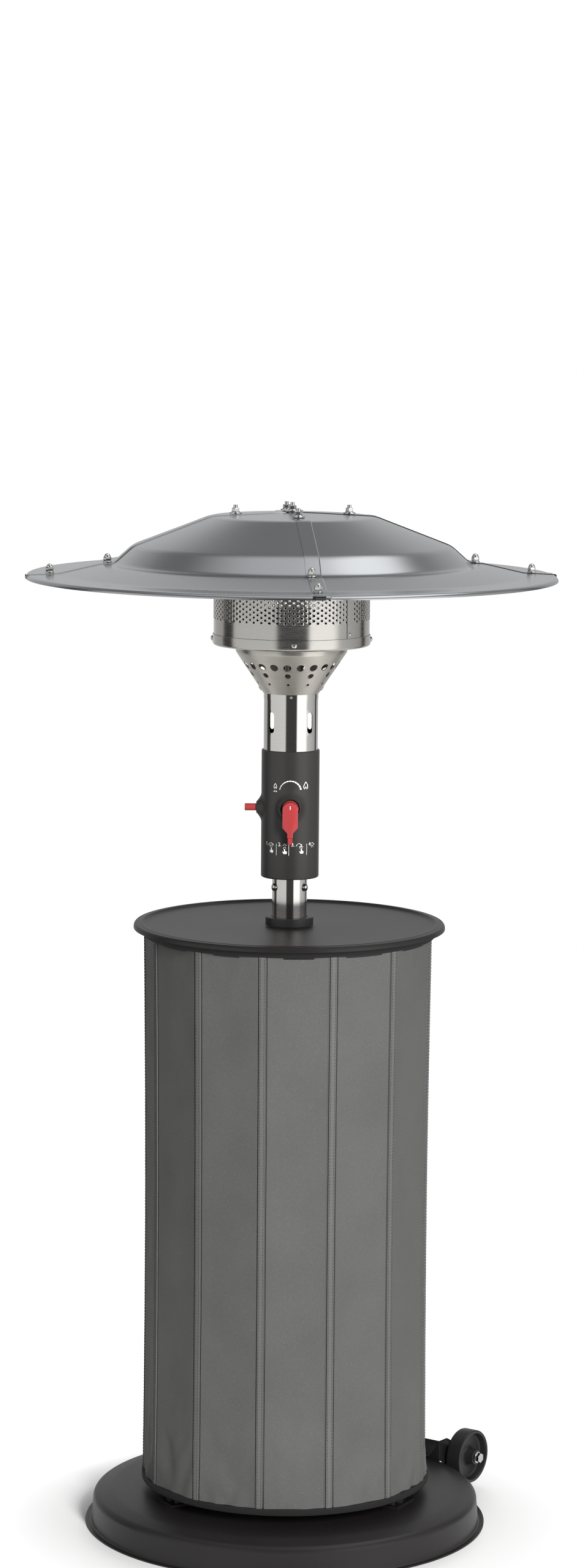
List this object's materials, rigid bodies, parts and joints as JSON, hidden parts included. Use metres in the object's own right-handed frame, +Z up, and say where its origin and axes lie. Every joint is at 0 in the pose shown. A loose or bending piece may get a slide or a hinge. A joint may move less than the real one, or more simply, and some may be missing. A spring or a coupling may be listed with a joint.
{
  "type": "patio heater",
  "caption": "Gas patio heater with a wheeled round base, cloth bottle sleeve, table, telescopic mast, knob and igniter, perforated burner and segmented reflector hood.",
  "frame": {"origin": "on the floor, at the centre of the base", "axes": "+Z up along the mast, -Y towards the control knob, +X to the right seen from the knob side"},
  "size_m": [0.765, 0.765, 1.5024],
  "materials": {
    "black_paint": "satin black powder coat",
    "frame_paint": "matt dark grey primer coat",
    "polished_steel": "polished stainless steel tube",
    "brushed_steel": "brushed stainless steel sheet",
    "hood_sheet": "satin rolled sheet",
    "zinc": "bright zinc plate",
    "cloth": "coated woven polyester",
    "binding": "black woven binding",
    "black_plastic": "moulded, fine grain",
    "housing_coat": "matt black coat on a casting",
    "red_plastic": "moulded, satin",
    "rubber": "moulded",
    "brass": "machined",
    "ceramic": "glazed ceramic, stood in for by gloss plastic"
  },
  "bodies": {
    "stand": {"base_pan": "black_paint", "mast_stop": "rubber", "support_posts": "frame_paint", "post_foot_bolts": "zinc", "spider_plate": "frame_paint", "post_top_bolts": "zinc", "mast_guide": "frame_paint", "table_top": "black_paint", "table_nuts": "zinc", "mast_collar": "black_paint", "sleeve": "cloth", "sleeve_band": "binding", "sleeve_hem": "binding", "hem_wire": "zinc", "wheel_bracket": "black_paint", "bracket_bolts": "zinc", "axle_bolts": "zinc", "axle_washers": "zinc", "axle_nuts": "zinc"},
    "mast": {"mast_tube": "polished_steel", "mast_foot_plug": "black_plastic", "mast_bolts": "zinc", "control_housing": "housing_coat", "head_tube": "polished_steel", "housing_screws": "zinc", "gas_valve": "brass", "gas_inlet": "brass", "gas_pipe": "brass", "injector": "brass", "mixing_tube": "brushed_steel", "thermocouple": "zinc", "spark_electrode": "ceramic", "piezo_unit": "black_plastic", "burner_cone": "brushed_steel", "cone_screws": "zinc", "burner_pan": "brushed_steel", "band_screws": "zinc", "burner_head": "brushed_steel", "emitter_screen": "brushed_steel", "screen_rivets": "zinc", "screen_lid": "brushed_steel", "hood_studs": "zinc", "hood_spacers": "zinc", "hood_panel_1": "hood_sheet", "hood_panel_2": "hood_sheet", "hood_panel_3": "hood_sheet", "hood_panel_4": "hood_sheet", "seam_bolts": "zinc", "cap_nuts": "zinc", "hood_washers": "zinc", "hood_nuts": "zinc"},
    "clamp": {"clamp_screw": "black_plastic"},
    "wheel_left": {"wheel_left": "black_plastic"},
    "wheel_right": {"wheel_right": "black_plastic"},
    "spindle": {"valve_spindle": "brass"},
    "knob": {"lever_knob": "red_plastic"},
    "button": {"igniter_button": "red_plastic"}
  },
  "joints": [
    {"name": "mast_lift", "type": "slide", "parent": "stand", "child": "mast", "axis": [0, 0, 1], "range_m": [0, 0.7]},
    {"name": "clamp_turn", "type": "hinge", "parent": "stand", "child": "clamp", "pos_m": [0, -0.05, 0.8006], "axis": [0, -1, 0], "range_deg": [0, 180]},
    {"name": "wheel_left_spin", "type": "hinge", "parent": "stand", "child": "wheel_left", "pos_m": [0.07771, 0.31631, 0.0464], "axis": [0.8111, -0.585, 0], "continuous": true},
    {"name": "wheel_right_spin", "type": "hinge", "parent": "stand", "child": "wheel_right", "pos_m": [0.27561, 0.17358, 0.0464], "axis": [0.8111, -0.585, 0], "continuous": true},
    {"name": "knob_turn", "type": "hinge", "parent": "mast", "child": "spindle", "pos_m": [0, -0.05, 1.065], "axis": [0, -1, 0], "range_deg": [-60, 60]},
    {"name": "knob_press", "type": "slide", "parent": "spindle", "child": "knob", "axis": [0, 1, 0], "range_m": [0, 0.004], "stiffness_N_per_m": 600, "springref_m": -0.004},
    {"name": "igniter_press", "type": "slide", "parent": "mast", "child": "button", "axis": [1, 0, 0], "range_m": [0, 0.004], "stiffness_N_per_m": 600, "springref_m": -0.004}
  ]
}
